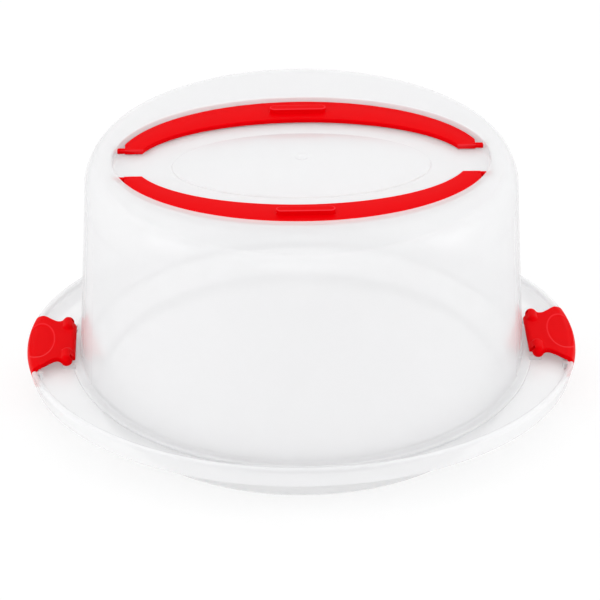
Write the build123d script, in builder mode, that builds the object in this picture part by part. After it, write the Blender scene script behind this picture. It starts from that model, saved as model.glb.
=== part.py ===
from build123d import *
import os

# Cake carrier: an oval tray, a round domed lid that lifts off, two half-oval handles that fold flat
# into a pocket in the top of the lid, and two latches that hold the lid on the tray.
# Millimetres, +Z up, origin on the table under the middle of the tray, +X to the right latch, +Y to the rear.

# --- Tray -----------------------------------------------------------------------------------------
tray_half_depth = 154.5         # rim's widest line, centre to front or rear
latch_room = 23.0               # how much further the rim reaches to left and right
tray_wall = 2.2
rim_height = 32.8
rim_width = 3.6
rim_edge_drop = 3.4             # from the top of the rim down to its widest line
rim_rounding = 1.6
skirt_bottom = 18.1
skirt_draft = 2.8               # how far the skirt's lower edge stands in from the widest line
deck_height = 28.5              # the seat of the lid's flange
deck_width = 13.5               # rim to well, at front and rear
well_mouth_rounding = 0.8
well_draft = 5.0
well_floor_height = 12.0
well_corner = 5.0
foot_width = 2.4
foot_step = 0.5                 # foot's outer face outside the edge of the well's floor

# --- Lid ------------------------------------------------------------------------------------------
lid_height = 166.2              # top face, above the table
lid_stand = 2.8                 # outer wall at the flange, outside the mouth of the well
lid_draft = 6.0                 # how far the wall leans in up to the shoulder
lid_wall = 2.2
shoulder_width = 11.4
shoulder_height = 25.7
flange_width = 5.2
flange_thickness = 2.5
seat_gap = 0.2                  # flange above deck
spigot_depth = 3.0              # the ring under the flange that centres the lid in the well
spigot_width = 1.8
spigot_clearance = 1.2          # keeps 0.35 from the sloping well wall at the ring's foot

# Side panels over the latches, set into the wall
panel_depth = 0.8
panel_foot_half_width = 48.5
panel_top_half_width = 43.0
panel_top_drop = 14.2           # below the lid's top
panel_corner = 12.0

# Pocket for the handles, with a crowned middle
pocket_margin = 19.1            # pocket's ends to the lid's wall
pocket_half_depth = 85.0
pocket_depth = 6.6
island_rise = 6.3
island_end_gap = 23.8           # handles' inner edge to the crowned middle, along the length
island_side_gap = 14.8          # and across it, room for fingertips
gate_radius = 3.6               # moulding gate dimple in the middle
gate_depth = 0.4

# --- Handles --------------------------------------------------------------------------------------
handle_side_gap = 1.0           # outer edge to pocket wall, at the middle of the band
handle_end_gap = 1.8            # and at the pocket's ends
band_width_ends = 12.1
band_width_middle = 25.7
handle_thickness = 3.0
handle_sink = 2.7               # top of a folded handle, below the lid's top
handle_end = 18.0               # end faces, from the middle line
handle_end_flat = 7.7           # side faces that carry the trunnions, in from the pocket's end
handle_corner = 1.0
handle_edge = 0.6
trunnion_radius = 1.75
trunnion_reach = 7.1            # beyond the side faces
trunnion_root = 2.0             # into the band
trunnion_end_gap = 0.5
running_clearance = 0.05
lug_radius = 4.0
lug_length = 4.4
grip_half_length = 18.0         # raised finger rib
grip_half_width = 3.0
grip_rise = 3.8
grip_stand = 11.2               # from the band's inner edge
grip_rounding = 1.4

# --- Latches --------------------------------------------------------------------------------------
latch_pivot_stand = 7.6         # from the lid's wall at the flange
latch_pivot_z = 35.0
knuckle_radius = 3.9            # rounded bosses over the hinge pins
knuckle_inner_y = 15.4          # centres of their round ends
knuckle_outer_y = 23.8
tail_reach = 5.6                # inner edge, from the pivot
tail_drop = 2.2                 # underside of the tail, below the pivot
tail_half_width = 21.2
tail_rounding = 3.6
latch_top = 36.7
latch_plate = 3.2
# one edge of the plate: out from the pivot, across from the middle line
latch_edge = [(2.0, 25.6), (6.2, 23.6), (10.4, 26.6), (15.0, 31.2), (20.0, 32.8)]
latch_wall = 3.8                # the outer wall that closes over the rim
latch_bottom = 19.8
latch_bottom_half_width = 28.6
latch_bottom_corner = 4.0
latch_top_rounding = 2.0
latch_lip = 0.9                 # hook under the bay wall
latch_lip_height = 1.9
latch_lip_half_width = 24.0
pad_stand = 16.0                # oval finger pad, from the pivot
pad_half_width = 7.8
pad_half_length = 22.5
pad_depth = 0.6

# Ears on the lid's flange, each in a slot in its boss, with the pin through it
ear_radius = 2.5
ear_thickness = 2.2
ear_inner_y = 21.8
ear_gap = 0.3
latch_pin_radius = 1.25
notch_gap = 0.4                 # flange relief round the latch's tail and bosses

bay_gap = 0.3                   # latch wall to bay wall
bay_side_gap = 0.7
bay_wall_bottom = 22.1

# --- Worked out from the above --------------------------------------------------------------------
tray_half_length = tray_half_depth + latch_room
widest_height = rim_height - rim_edge_drop
well_mouth_radius = tray_half_depth - deck_width
well_floor_radius = well_mouth_radius - well_draft
foot_radius = well_floor_radius + foot_step
lid_base_radius = well_mouth_radius + lid_stand
lid_top_radius = lid_base_radius - lid_draft
deck_underside = deck_height - tray_wall
flange_bottom = deck_height + seat_gap
flange_top = flange_bottom + flange_thickness
flange_radius = lid_base_radius + flange_width
spigot_radius = well_mouth_radius - spigot_clearance
shoulder_base = lid_height - shoulder_height
panel_top_height = lid_height - panel_top_drop
pocket_half_length = lid_top_radius - pocket_margin
pocket_floor = lid_height - pocket_depth
pocket_underside = pocket_floor - lid_wall
handle_half_length = pocket_half_length - handle_end_gap
handle_half_depth = pocket_half_depth - handle_side_gap
handle_inner_half_length = handle_half_length - band_width_ends
handle_inner_half_depth = handle_half_depth - band_width_middle
handle_end_reach = pocket_half_length - handle_end_flat
island_half_length = handle_inner_half_length - island_end_gap
island_half_depth = handle_inner_half_depth - island_side_gap
grip_offset = handle_inner_half_depth + grip_stand
handle_top = lid_height - handle_sink
handle_bottom = handle_top - handle_thickness
handle_pivot_y = handle_end + trunnion_radius
handle_pivot_z = handle_top - handle_thickness / 2
trunnion_end = handle_end_reach + trunnion_reach
latch_pivot_x = lid_base_radius + latch_pivot_stand
latch_outline = [(latch_pivot_x + out, across) for out, across in latch_edge]
latch_underside = latch_top - latch_plate
latch_half_width = latch_edge[-1][1]
bay_half_width = latch_half_width + bay_side_gap
bay_face = latch_wall + bay_gap
bay_inner_face = bay_face + tray_wall
ear_middle_y = ear_inner_y + ear_thickness / 2
slot_width = ear_thickness + 2 * ear_gap
slot_radius = ear_radius + ear_gap
notch_start = latch_pivot_x - tail_reach - notch_gap
notch_half_width = knuckle_outer_y + knuckle_radius + notch_gap
beyond = 200.0                  # clear of the whole carrier
sides = (-1, 1)


def face_inset(height):
    """How far the rim's outer face stands in from its widest line at a height."""
    return skirt_draft * max(0.0, (widest_height - height) / (widest_height - skirt_bottom))


def oval_block(inset, bottom, top):
    """Solid oval whose side runs parallel to the rim's outer face."""
    levels = [bottom] + [widest_height] * (bottom < widest_height < top) + [top]
    with BuildPart() as block:
        for low, high in zip(levels, levels[1:]):
            for height in (low, high):
                in_from_rim = inset + face_inset(height)
                with BuildSketch(Plane.XY.offset(height)):
                    Ellipse(tray_half_length - in_from_rim, tray_half_depth - in_from_rim)
            loft()
    return block.part


def rim_slices(outer_inset, inner_inset, bottom, top, half_width):
    """Left and right slices of a band that follows the rim."""
    with BuildPart() as slices:
        add(oval_block(outer_inset, bottom, top))
        add(oval_block(inner_inset, bottom, top), mode=Mode.SUBTRACT)
        Box(2 * beyond, 2 * half_width, 2 * beyond, mode=Mode.INTERSECT)
    return slices.part


def dome_block(inset):
    """Solid of the dome's outside, set in all round."""
    with BuildPart() as block:
        with BuildSketch(Plane.XZ):
            with BuildLine():
                Line((lid_base_radius - inset, flange_top), (lid_top_radius - inset, shoulder_base))
                EllipticalCenterArc(
                    (lid_top_radius - shoulder_width, shoulder_base),
                    shoulder_width - inset,
                    shoulder_height - inset,
                    arc_size=90,
                )
                Line((lid_top_radius - shoulder_width, lid_height - inset), (0, lid_height - inset))
                Line((0, lid_height - inset), (0, flange_top))
                Line((0, flange_top), (lid_base_radius - inset, flange_top))
            make_face()
        revolve(axis=Axis.Z)
    return block.part


def crown_block(foot_height):
    """Oval cushion that stands on a level foot."""
    with BuildPart() as block:
        with BuildSketch(Plane.XZ):
            with BuildLine():
                Line((0, 0), (0, island_rise))
                TangentArc((0, island_rise), (island_half_length, 0), tangent=(1, 0))
                Line((island_half_length, 0), (0, 0))
            make_face()
        revolve(axis=Axis.Z)
        scale(by=(1, island_half_depth / island_half_length, 1))
    return Pos(0, 0, foot_height) * block.part


def circles_at(part, radius, height):
    """Full circles of one radius at one height."""
    return part.edges().filter_by(GeomType.CIRCLE).filter_by(
        lambda edge: abs(edge.radius - radius) < 0.01 and abs(edge.center().Z - height) < 0.01
    )


# === Tray =========================================================================================
with BuildPart() as tray:
    # rim, skirt and deck
    add(oval_block(0, skirt_bottom, rim_height))
    add(oval_block(tray_wall, skirt_bottom, deck_underside), mode=Mode.SUBTRACT)
    add(oval_block(rim_width, deck_height, rim_height), mode=Mode.SUBTRACT)
    fillet(tray.edges().group_by(Axis.Z)[-1], radius=rim_rounding)
    # the rim steps in behind each latch
    add(rim_slices(0, bay_inner_face, skirt_bottom, rim_height, bay_half_width + tray_wall))
    add(
        rim_slices(-tray_wall, bay_face, skirt_bottom, rim_height + tray_wall, bay_half_width),
        mode=Mode.SUBTRACT,
    )
    add(
        rim_slices(bay_face, bay_inner_face, skirt_bottom, bay_wall_bottom, bay_half_width),
        mode=Mode.SUBTRACT,
    )
    # well and foot
    with BuildSketch(Plane.XY.offset(deck_height)):
        Circle(well_mouth_radius)
    extrude(amount=-tray_wall, mode=Mode.SUBTRACT)
    with BuildSketch(Plane.XZ):
        with BuildLine():
            Polyline(
                (0, well_floor_height),
                (well_floor_radius, well_floor_height),
                (well_mouth_radius, deck_height),
                (well_mouth_radius + tray_wall, deck_height),
                (well_mouth_radius + tray_wall, deck_underside),
                (well_floor_radius + tray_wall, well_floor_height - tray_wall),
                (foot_radius, well_floor_height - tray_wall),
                (foot_radius, 0),
                (foot_radius - foot_width, 0),
                (foot_radius - foot_width, well_floor_height - tray_wall),
                (0, well_floor_height - tray_wall),
                close=True,
            )
        make_face()
    revolve(axis=Axis.Z)
    fillet(circles_at(tray, well_floor_radius, well_floor_height), radius=well_corner)
    fillet(circles_at(tray, well_mouth_radius, deck_height), radius=well_mouth_rounding)
tray.part.label = "tray"

# === Lid ==========================================================================================
with BuildPart() as panel:
    # outline of one side panel, wider at the foot, run right through the lid
    with BuildSketch(Plane.YZ) as panel_outline:
        Polygon(
            (-panel_foot_half_width, flange_top),
            (panel_foot_half_width, flange_top),
            (panel_top_half_width, panel_top_height),
            (-panel_top_half_width, panel_top_height),
            align=None,
        )
        fillet(panel_outline.vertices().group_by(Axis.Y)[-1], radius=panel_corner)
    extrude(amount=beyond, both=True)
    add(dome_block(panel_depth), mode=Mode.SUBTRACT)

with BuildPart() as lid:
    # wall and top
    add(dome_block(0))
    add(panel.part, mode=Mode.SUBTRACT)
    # flange, and the ring under it that enters the well
    with BuildSketch(Plane.XY.offset(flange_bottom)):
        Circle(flange_radius)
    extrude(amount=flange_thickness)
    with BuildSketch(Plane.XY.offset(flange_bottom)):
        Circle(spigot_radius)
    extrude(amount=-spigot_depth)
    with BuildSketch(Plane.XY.offset(flange_bottom - spigot_depth)):
        Circle(spigot_radius - spigot_width)
    extrude(amount=spigot_depth + flange_thickness, mode=Mode.SUBTRACT)
    add(dome_block(lid_wall), mode=Mode.SUBTRACT)
    # handle pocket: shell, bearing bosses behind its ends, then the hollow
    with BuildSketch(Plane.XY.offset(pocket_underside)):
        Ellipse(pocket_half_length + lid_wall, pocket_half_depth + lid_wall)
    extrude(amount=pocket_depth + lid_wall / 2)
    for side in sides:
        with BuildSketch(Plane.YZ.offset(side * (trunnion_end + trunnion_end_gap + lid_wall / 2))):
            with Locations((-handle_pivot_y, handle_pivot_z), (handle_pivot_y, handle_pivot_z)):
                Circle(lug_radius)
        extrude(amount=-side * lug_length)
    with BuildSketch(Plane.XY.offset(pocket_floor)):
        Ellipse(pocket_half_length, pocket_half_depth)
    extrude(amount=pocket_depth, mode=Mode.SUBTRACT)
    for side in sides:
        with BuildSketch(Plane.YZ.offset(side * (trunnion_end + trunnion_end_gap))):
            with Locations((-handle_pivot_y, handle_pivot_z), (handle_pivot_y, handle_pivot_z)):
                Circle(trunnion_radius + running_clearance)
        extrude(amount=-side * lug_length, mode=Mode.SUBTRACT)
    # crowned middle
    add(crown_block(pocket_floor))
    add(crown_block(pocket_underside), mode=Mode.SUBTRACT)
    with BuildSketch(Plane.XY.offset(pocket_floor + island_rise - gate_depth)):
        Circle(gate_radius)
    extrude(amount=lid_wall, mode=Mode.SUBTRACT)
    # latch hinges: flange cut back, with a tongue that carries each ear
    for side in sides:
        with Locations((side * (notch_start + beyond / 2), 0, flange_bottom + flange_thickness / 2)):
            Box(beyond, 2 * notch_half_width, 2 * flange_thickness, mode=Mode.SUBTRACT)
        for end in sides:
            with BuildSketch(Plane.XZ.offset(-end * ear_middle_y)):
                with Locations((side * latch_pivot_x, latch_pivot_z)):
                    Circle(ear_radius)
                with Locations((side * latch_pivot_x, flange_bottom)):
                    Rectangle(2 * ear_radius, latch_pivot_z - flange_bottom, align=(Align.CENTER, Align.MIN))
                with Locations((side * (notch_start - notch_gap + latch_pivot_x) / 2, flange_bottom)):
                    Rectangle(
                        latch_pivot_x - notch_start + notch_gap,
                        flange_thickness,
                        align=(Align.CENTER, Align.MIN),
                    )
                with Locations((side * latch_pivot_x, latch_pivot_z)):
                    Circle(latch_pin_radius + running_clearance, mode=Mode.SUBTRACT)
            extrude(amount=ear_thickness / 2, both=True)
lid.part.label = "lid"

# === Handles ======================================================================================
with BuildPart() as rear_handle:
    # half-oval band, cut straight at both ends and flattened where the trunnions stand
    with BuildSketch(Plane.XY.offset(handle_bottom)):
        Ellipse(handle_half_length, handle_half_depth)
        Ellipse(handle_inner_half_length, handle_inner_half_depth, mode=Mode.SUBTRACT)
        with Locations((0, handle_end)):
            Rectangle(2 * handle_end_reach, beyond, align=(Align.CENTER, Align.MIN), mode=Mode.INTERSECT)
    extrude(amount=handle_thickness)
    fillet(rear_handle.edges().filter_by(Axis.Z), radius=handle_corner)
    fillet(rear_handle.edges().filter_by(Plane.XY), radius=handle_edge)
    # finger rib
    with BuildSketch(Plane.XY.offset(handle_top - handle_thickness / 2)):
        with Locations((0, grip_offset)):
            SlotOverall(2 * grip_half_length, 2 * grip_half_width)
    extrude(amount=grip_rise + handle_thickness / 2)
    fillet(rear_handle.edges().group_by(Axis.Z)[-1], radius=grip_rounding)
    # trunnions
    for side in sides:
        with BuildSketch(Plane.YZ.offset(side * (handle_end_reach - trunnion_root))):
            with Locations((handle_pivot_y, handle_pivot_z)):
                Circle(trunnion_radius)
        extrude(amount=side * (trunnion_root + trunnion_reach))
rear_handle.part.label = "rear_handle"

with BuildPart() as front_handle:
    add(rear_handle.part)
    mirror(about=Plane.XZ, mode=Mode.REPLACE)
front_handle.part.label = "front_handle"

# === Latches ======================================================================================
with BuildPart() as closure:
    # outer wall that follows the rim, and the hook along its lower edge
    add(rim_slices(0, latch_wall, latch_bottom, latch_top, latch_half_width))
    lip_inset = bay_face + latch_lip
    lip_top = latch_bottom + latch_lip_height
    add(rim_slices(latch_wall, lip_inset, latch_bottom, lip_top, latch_lip_half_width))
    with BuildSketch(Plane.YZ) as closure_outline:
        Polygon(
            (-latch_bottom_half_width, latch_bottom),
            (latch_bottom_half_width, latch_bottom),
            (latch_half_width, widest_height),
            (latch_half_width, latch_top),
            (-latch_half_width, latch_top),
            (-latch_half_width, widest_height),
            align=None,
        )
        fillet(closure_outline.vertices().group_by(Axis.Y)[0], radius=latch_bottom_corner)
    extrude(amount=beyond, mode=Mode.INTERSECT)

with BuildPart() as right_latch:
    # plate with its waist and lobes
    with BuildSketch(Plane.XY.offset(latch_underside)):
        with BuildLine():
            rear_edge = Spline(latch_outline)
            mirror(rear_edge, about=Plane.XZ)
            Line(rear_edge @ 0, (latch_outline[0][0], -latch_outline[0][1]))
            Line(rear_edge @ 1, (tray_half_length, latch_half_width))
            Line((tray_half_length, latch_half_width), (tray_half_length, -latch_half_width))
            Line((tray_half_length, -latch_half_width), (latch_outline[-1][0], -latch_half_width))
        make_face()
        with Locations((latch_pivot_x, 0)):
            Rectangle(latch_edge[0][0], 2 * tail_half_width, align=(Align.MIN, Align.CENTER))
    extrude(amount=latch_plate)
    add(oval_block(0, latch_underside, latch_top), mode=Mode.INTERSECT)
    add(closure.part)
    fillet(right_latch.edges().group_by(Axis.Z)[-1].sort_by(Axis.X)[-1], radius=latch_top_rounding)
    # tail, rounded down towards the dome
    with BuildSketch(Plane.XZ) as tail_outline:
        with Locations((latch_pivot_x, latch_pivot_z - tail_drop)):
            Rectangle(tail_reach, latch_top - latch_pivot_z + tail_drop, align=(Align.MAX, Align.MIN))
        fillet(tail_outline.vertices().group_by(Axis.X)[0].sort_by(Axis.Y)[-1], radius=tail_rounding)
    extrude(amount=tail_half_width, both=True)
    # bosses with a slot for the ear and a pin across it
    for end in sides:
        with Locations(
            (latch_pivot_x, end * knuckle_inner_y, latch_pivot_z),
            (latch_pivot_x, end * knuckle_outer_y, latch_pivot_z),
        ):
            Sphere(knuckle_radius)
        with BuildSketch(Plane.XZ.offset(-end * knuckle_inner_y)):
            with Locations((latch_pivot_x, latch_pivot_z)):
                Circle(knuckle_radius)
        extrude(amount=-end * (knuckle_outer_y - knuckle_inner_y))
        with BuildSketch(Plane.XZ.offset(-end * ear_middle_y)):
            with Locations((latch_pivot_x, latch_pivot_z)):
                Circle(slot_radius)
                Rectangle(2 * slot_radius, beyond, align=(Align.CENTER, Align.MAX))
            with Locations((latch_pivot_x, latch_pivot_z + slot_radius)):
                Rectangle(beyond, beyond, align=(Align.MAX, Align.MAX))
        extrude(amount=slot_width / 2, both=True, mode=Mode.SUBTRACT)
        with BuildSketch(Plane.XZ.offset(-end * ear_middle_y)):
            with Locations((latch_pivot_x, latch_pivot_z)):
                Circle(latch_pin_radius)
        extrude(amount=slot_width / 2 + latch_pin_radius, both=True)
    # finger pad
    with BuildSketch(Plane.XY.offset(latch_top)):
        with Locations((latch_pivot_x + pad_stand, 0)):
            Ellipse(pad_half_width, pad_half_length)
    extrude(amount=-pad_depth, mode=Mode.SUBTRACT)
right_latch.part.label = "right_latch"

with BuildPart() as left_latch:
    add(right_latch.part)
    mirror(about=Plane.YZ, mode=Mode.REPLACE)
left_latch.part.label = "left_latch"

# === Parts ========================================================================================
os.makedirs("parts", exist_ok=True)
export_step(tray.part, "parts/tray.step")
export_step(lid.part, "parts/lid.step")
export_step(rear_handle.part, "parts/rear_handle.step")
export_step(front_handle.part, "parts/front_handle.step")
export_step(left_latch.part, "parts/left_latch.step")
export_step(right_latch.part, "parts/right_latch.step")
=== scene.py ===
"""Cake carrier: domed lid and oval tray of natural polypropylene, red folding handles and latches."""

import math

import bmesh
import bpy
import numpy as np
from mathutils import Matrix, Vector


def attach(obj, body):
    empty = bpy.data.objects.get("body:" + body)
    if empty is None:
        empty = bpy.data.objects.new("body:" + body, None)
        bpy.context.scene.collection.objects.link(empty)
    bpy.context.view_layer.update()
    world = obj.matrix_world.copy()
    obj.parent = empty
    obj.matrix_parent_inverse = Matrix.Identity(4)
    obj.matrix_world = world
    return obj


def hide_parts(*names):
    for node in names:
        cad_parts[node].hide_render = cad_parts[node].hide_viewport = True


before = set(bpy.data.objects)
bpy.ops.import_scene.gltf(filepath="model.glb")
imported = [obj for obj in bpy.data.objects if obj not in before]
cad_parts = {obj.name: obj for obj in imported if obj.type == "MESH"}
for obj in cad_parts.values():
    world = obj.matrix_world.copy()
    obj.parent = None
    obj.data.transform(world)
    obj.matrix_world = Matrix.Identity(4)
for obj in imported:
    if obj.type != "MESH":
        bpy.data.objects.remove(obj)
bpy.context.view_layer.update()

MM = 0.001

# --- Sizes in millimetres, as in the part's source -----------------------------------------------
TRAY_LENGTH, TRAY_DEPTH = 177.5, 154.5      # half-axes of the rim's widest line
RIM_TOP, WIDEST, SKIRT_FOOT, SKIRT_DRAFT = 32.8, 29.4, 18.1, 2.8
RIM_WIDTH, RIM_EDGE, TRAY_WALL = 3.6, 1.7, 2.2
RIM_CREST = (1.75, 1.65)                    # insets of the two sides of the rim's crest
SKIRT_EDGE, TRAY_EDGE = 0.6, 0.8            # roundings of the skirt and of the corners under the tray
DECK, DECK_UNDER = 28.5, 26.3
GUTTER = 1.2                                # rounding between the deck and the rim
MOUTH_RADIUS, FLOOR_RADIUS, FLOOR = 141.0, 136.0, 12.0
MOUTH_EDGE, MOUTH_LIP, FLOOR_CORNER = 0.95, 0.75, 5.0
WELL_WALL = [(137.2, 16.0), (140.65, 27.4)]     # its straight stretch, as (radius, height)
FOOT_RADIUS, FOOT_WIDTH, FOOT_EDGE, FOOT_ROOT = 133.5, 2.4, 0.7, 0.3

# the set-in bay in the rim under each latch
BAY_WIDTH, BAY_FACE, BAY_INNER, BAY_FOOT = 33.5, 4.1, 6.3, 22.1
BAY_WALL_END, END_PLATE_START, BAY_WALL_FACE, END_PLATE_FACE = 35.7, 33.0, 3.0, 0.6
BAY_WALL_HEIGHTS = (BAY_FOOT, 24, 27, WIDEST, 31, RIM_TOP)
END_PLATE_HEIGHTS = (18.7, 22, 26, WIDEST, 32.2)
BAY_HEIGHTS, BAY_REACH = (12, SKIRT_FOOT, 24, WIDEST, 40), -8

LID_TOP, SHOULDER_FOOT, FLANGE_TOP, FLANGE_UNDER = 166.2, 140.5, 31.2, 28.7
WALL_FOOT_RADIUS, WALL_TOP_RADIUS = 143.8, 137.8
WALL_ROOT = 1.3                             # fillet between wall and flange
SHOULDER_WIDTH, SHOULDER_HEIGHT = 11.4, 25.7
FLANGE_RADIUS, LID_WALL = 149.0, 2.2
SPIGOT_RADIUS, SPIGOT_WIDTH, SPIGOT_FOOT = 139.8, 1.8, 25.7
SPIGOT_ROOT, SPIGOT_LIP, INNER_ROOT = 0.3, 0.6, 0.4
UPPER_EDGE, LOWER_EDGE = 0.9, 0.5           # roundings of the lid's edges
PANEL_DEPTH, PANEL_FOOT, PANEL_HEAD, PANEL_TOP, PANEL_CORNER = 0.8, 48.5, 43.0, 152.0, 12.0
PANEL_EDGE = 1.6                            # width of the soft step round a side panel
POCKET_LENGTH, POCKET_DEPTH, POCKET_FLOOR = 118.7, 85.0, 159.6
POCKET_CORNER, SHELL_CORNER = 2.0, 3.0      # roundings at the pocket's floor, above and below
ISLAND_LENGTH, ISLAND_DEPTH, ISLAND_RISE = 81.0, 43.5, 6.3
ISLAND_STEP = 0.9                           # the edge that sets the crown off from the pocket's floor
# the step at the crown's foot, as (outwards, above the pocket's floor)
STEP_PROFILE = [(-0.6, 0.9), (-0.4, 0.83), (-0.3, 0.65), (-0.1, 0.2), (0.1, 0.04), (0.5, 0)]
STEP_REACH = 0.6
# the dimple of the moulding gate, as (radius, below the crown)
GATE_PROFILE = [(0.6, 0.412), (2.6, 0.412), (3.2, 0.352), (3.5, 0.212), (3.8, 0.062), (4.3, 0.012)]
# bosses in the pocket that the handles' trunnions turn in
LUG_INNER, LUG_OUTER, LUG_RADIUS, HOLE_INNER, HOLE_END = 115.9, 119.7, 4.0, 112.0, 118.6
NOTCH_START, NOTCH_END, NOTCH_WIDTH = 145.4, 160.0, 28.1    # flange cut back for a latch
NOTCH_HEIGHTS = (27.5, 40.0)
EAR_INNER, EAR_OUTER, EAR_RADIUS, EAR_GAP = 21.8, 24.0, 2.5, 0.3
EAR_ROOT, TONGUE_END, EAR_EDGE, EAR_FACE = 0.5, 0.8, 0.15, 0.96
TONGUE_INSET = 0.02                         # the tongue stands this far inside the flange's faces
RUNNING_GAP = 0.05                          # round each trunnion and pin

HANDLE_FOOT, HANDLE_TOP, HANDLE_END, HANDLE_REACH = 160.5, 163.5, 18.0, 111.0
HANDLE_OUTER, HANDLE_INNER = (116.9, 84.0), (104.8, 58.3)   # half-axes of the band's edges
BAND_EDGE, END_EDGE = 0.8, 0.5              # roundings along the band and at its end faces
TRUNNION_Y, TRUNNION_Z, TRUNNION_RADIUS, TRUNNION_END = 19.75, 162.0, 1.75, 118.1
TRUNNION_ROOT, TRUNNION_TIP = 2.0, 0.3
GRIP_Y, GRIP_LENGTH, GRIP_WIDTH, RIB_TOP, RIB_EDGE = 69.5, 18.0, 3.0, 166.6, 0.6

PIVOT_X, PIVOT_Z, PIN_RADIUS = 151.4, 35.0, 1.25
BOSS_RADIUS, BOSS_INNER, BOSS_OUTER = 3.9, 15.4, 23.8
TAIL_REACH, TAIL_FOOT, TAIL_WIDTH, TAIL_EDGE = 5.6, 32.8, 21.2, 3.6
LATCH_TOP, LATCH_UNDER, LATCH_FOOT, LATCH_WIDTH, LATCH_WALL = 36.7, 33.5, 19.8, 32.8, 3.8
SHOULDER_IN, SHOULDER_DOWN = 6.0, 6.6       # how the latch's top rolls over into its outer wall
PLATE_ROOT = (150.4, 20.0)
# one edge of the latch's plate as (x, y), from the pivot out to the rim
PLATE_EDGE = [(153.4, 25.6), (157.6, 23.6), (161.8, 26.4), (165.0, 29.7), (167.6, 31.9)]
PLATE_CORNER = 31.8
# half width of the outer wall at each height
CLOSING_HEIGHTS = [LATCH_FOOT, WIDEST - 2, WIDEST + 2, 35.0, 36.3, LATCH_TOP]
CLOSING_WIDTHS = [31.6, 32.4, LATCH_WIDTH, LATCH_WIDTH, 32.2, 31.4]
# the hook under the bay's wall, as (inset, height)
HOOK_PROFILE = [(2.0, 19.8), (2.0, 21.7), (4.7, 21.7), (5.0, 21.3), (4.4, 19.8)]
HOOK_WIDTH = 24.0
# the oval finger pad, and how far the plate falls away to the rim
PAD_X, PAD_LENGTH, PAD_WIDTH, PAD_DEPTH, PAD_SOFT = 169.4, 9.4, 20.5, 0.5, 0.6
FALL_START, FALL_END, FALL = 163.0, 175.0, 0.8
SKIN_STEP = 0.36                            # grain of the skin that joins the latch's shapes


# --- Mesh helpers --------------------------------------------------------------------------------
def mesh_object(name, points, faces):
    """A closed mesh from points in millimetres, with its faces turned outwards."""
    mesh = bpy.data.meshes.new(name)
    mesh.from_pydata((np.asarray(points, dtype=float) * MM).tolist(), [], faces)
    work = bmesh.new()
    work.from_mesh(mesh)
    bmesh.ops.remove_doubles(work, verts=work.verts, dist=1e-7)
    bmesh.ops.recalc_face_normals(work, faces=work.faces)
    work.to_mesh(mesh)
    work.free()
    piece = bpy.data.objects.new(name, mesh)
    bpy.context.collection.objects.link(piece)
    return piece


def rings_mesh(name, rings, capped=False):
    """Skins a list of rings of points, and closes both ends with a pole or a flat cap."""
    rings = np.asarray(rings, dtype=float)
    count, around = rings.shape[:2]
    points = rings.reshape(-1, 3).tolist()
    here = np.arange(around)
    after = (here + 1) % around
    faces = []
    for row in range(count - 1):
        low, high = row * around, (row + 1) * around
        faces += np.stack([low + here, low + after, high + after, high + here], axis=1).tolist()
    for row in (0, count - 1):
        edge = row * around
        if capped:
            faces.append((edge + here).tolist())
        else:
            points.append(rings[row].mean(axis=0).tolist())
            pole = len(points) - 1
            faces += [[edge + a, edge + b, pole] for a, b in zip(here.tolist(), after.tolist())]
    return mesh_object(name, points, faces)


def arc(centre, radii, start, end, steps):
    """Points of an arc in a profile, from one angle to another in degrees."""
    angles = np.radians(np.linspace(start, end, steps))
    return [(centre[0] + radii[0] * math.cos(a), centre[1] + radii[1] * math.sin(a)) for a in angles]


def line(start, end, steps):
    """Points spread evenly along a straight stretch of a profile, without its first."""
    return [tuple(p) for p in np.linspace(start, end, steps + 1)[1:]]


def combine(piece, other, operation):
    """Joins a second closed shape to a piece, or cuts it away, and removes the second."""
    step = piece.modifiers.new("combine", "BOOLEAN")
    step.operation, step.object, step.solver = operation, other, "MANIFOLD"
    settle(piece)
    bpy.data.objects.remove(other, do_unlink=True)


def settle(piece):
    """Turns a piece with its modifiers into a plain mesh."""
    bpy.context.view_layer.update()
    graph = bpy.context.evaluated_depsgraph_get()
    mesh = bpy.data.meshes.new_from_object(piece.evaluated_get(graph))
    old = piece.data
    piece.modifiers.clear()
    piece.data = mesh
    mesh.name = piece.name
    bpy.data.meshes.remove(old)


def finish_surface(piece, sharp_angle=32):
    """Smooth shading that keeps the real edges."""
    piece.data.shade_smooth()
    piece.data.set_sharp_from_angle(angle=math.radians(sharp_angle))


def places(piece):
    """The coordinates of a piece's points, in millimetres."""
    points = np.empty(len(piece.data.vertices) * 3)
    piece.data.vertices.foreach_get("co", points)
    return (points.reshape(-1, 3) / MM).T


def paint_highlights(piece, amount):
    """Paints a highlight into a piece's colour, as a point attribute from 0 to 1 at each point."""
    marks = piece.data.attributes.new("painted_highlight", "FLOAT", "POINT")
    marks.data.foreach_set("value", np.asarray(amount, dtype=np.float32))


def mirrored(piece, name, axis):
    """A mirror twin of a piece across the plane through the origin square to one axis."""
    twin = bpy.data.objects.new(name, piece.data.copy())
    bpy.context.collection.objects.link(twin)
    twin.data.name = name
    work = bmesh.new()
    work.from_mesh(twin.data)
    for vert in work.verts:
        vert.co[axis] = -vert.co[axis]
    bmesh.ops.reverse_faces(work, faces=work.faces)
    work.to_mesh(twin.data)
    work.free()
    return twin


def block(name, x, y, z):
    """A box between two places on each axis."""
    points = [(a, b, c) for c in z for b in y for a in x]
    faces = [(0, 1, 3, 2), (4, 5, 7, 6), (0, 1, 5, 4), (2, 3, 7, 6), (0, 2, 6, 4), (1, 3, 7, 5)]
    return mesh_object(name, points, faces)


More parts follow.
